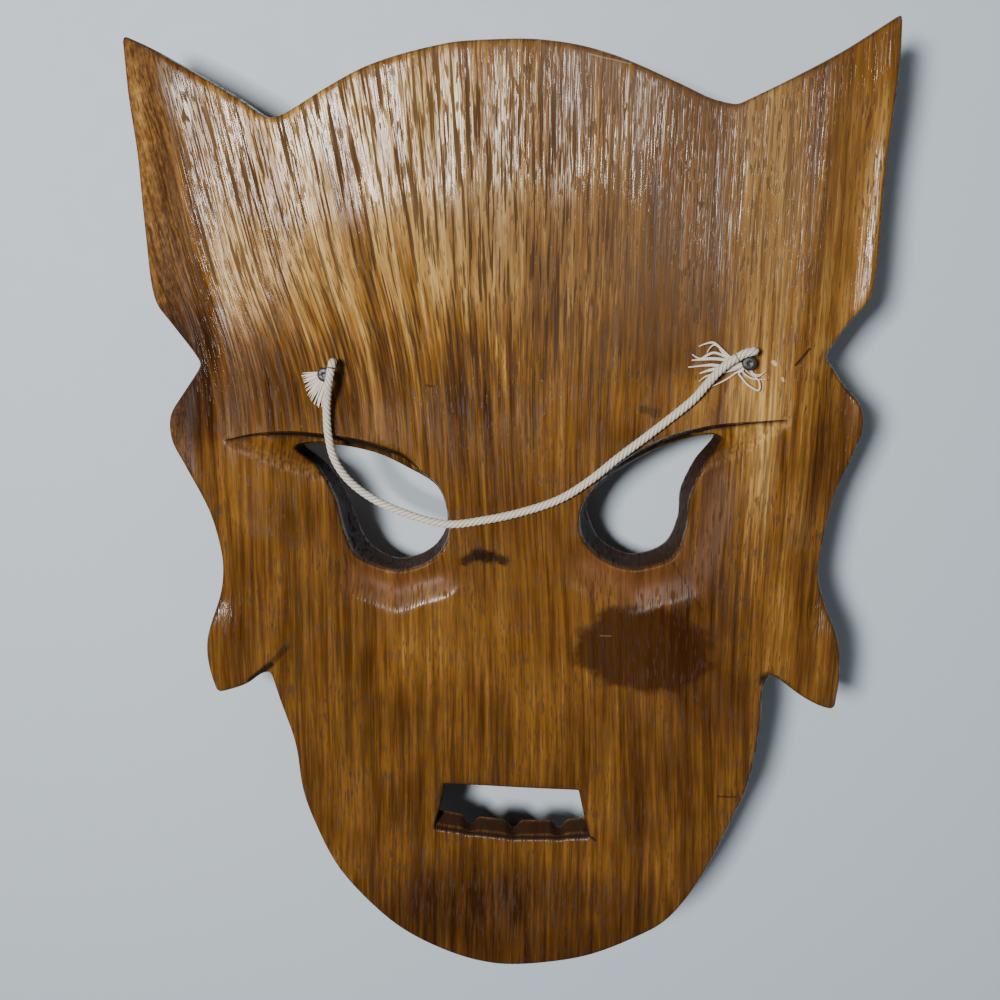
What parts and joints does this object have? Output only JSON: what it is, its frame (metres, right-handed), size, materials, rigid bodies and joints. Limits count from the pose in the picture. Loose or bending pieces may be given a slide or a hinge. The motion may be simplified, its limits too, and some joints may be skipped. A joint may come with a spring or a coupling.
{
  "type": "demon mask",
  "caption": "Carved wooden demon mask with horns, ears, slanted eye holes, a toothed mouth hole and a cotton hanging cord on nails.",
  "frame": {"origin": "middle of the mask's outline, on the surface that its carved front rests on", "axes": "+Y towards the crown, +Z out of the back, +X right when the back is looked at with the crown up"},
  "size_m": [0.222, 0.3052, 0.042],
  "materials": {
    "carved_wood": "varnished, satin gloss",
    "nail_steel": "dark, dull",
    "cotton": "twisted, matte"
  },
  "bodies": {
    "root": {"mask": "carved_wood", "nail_left": "nail_steel", "nail_right": "nail_steel", "hanging_cord": "cotton", "frayed_end_left": "cotton", "frayed_end_right": "cotton"}
  },
  "joints": []
}
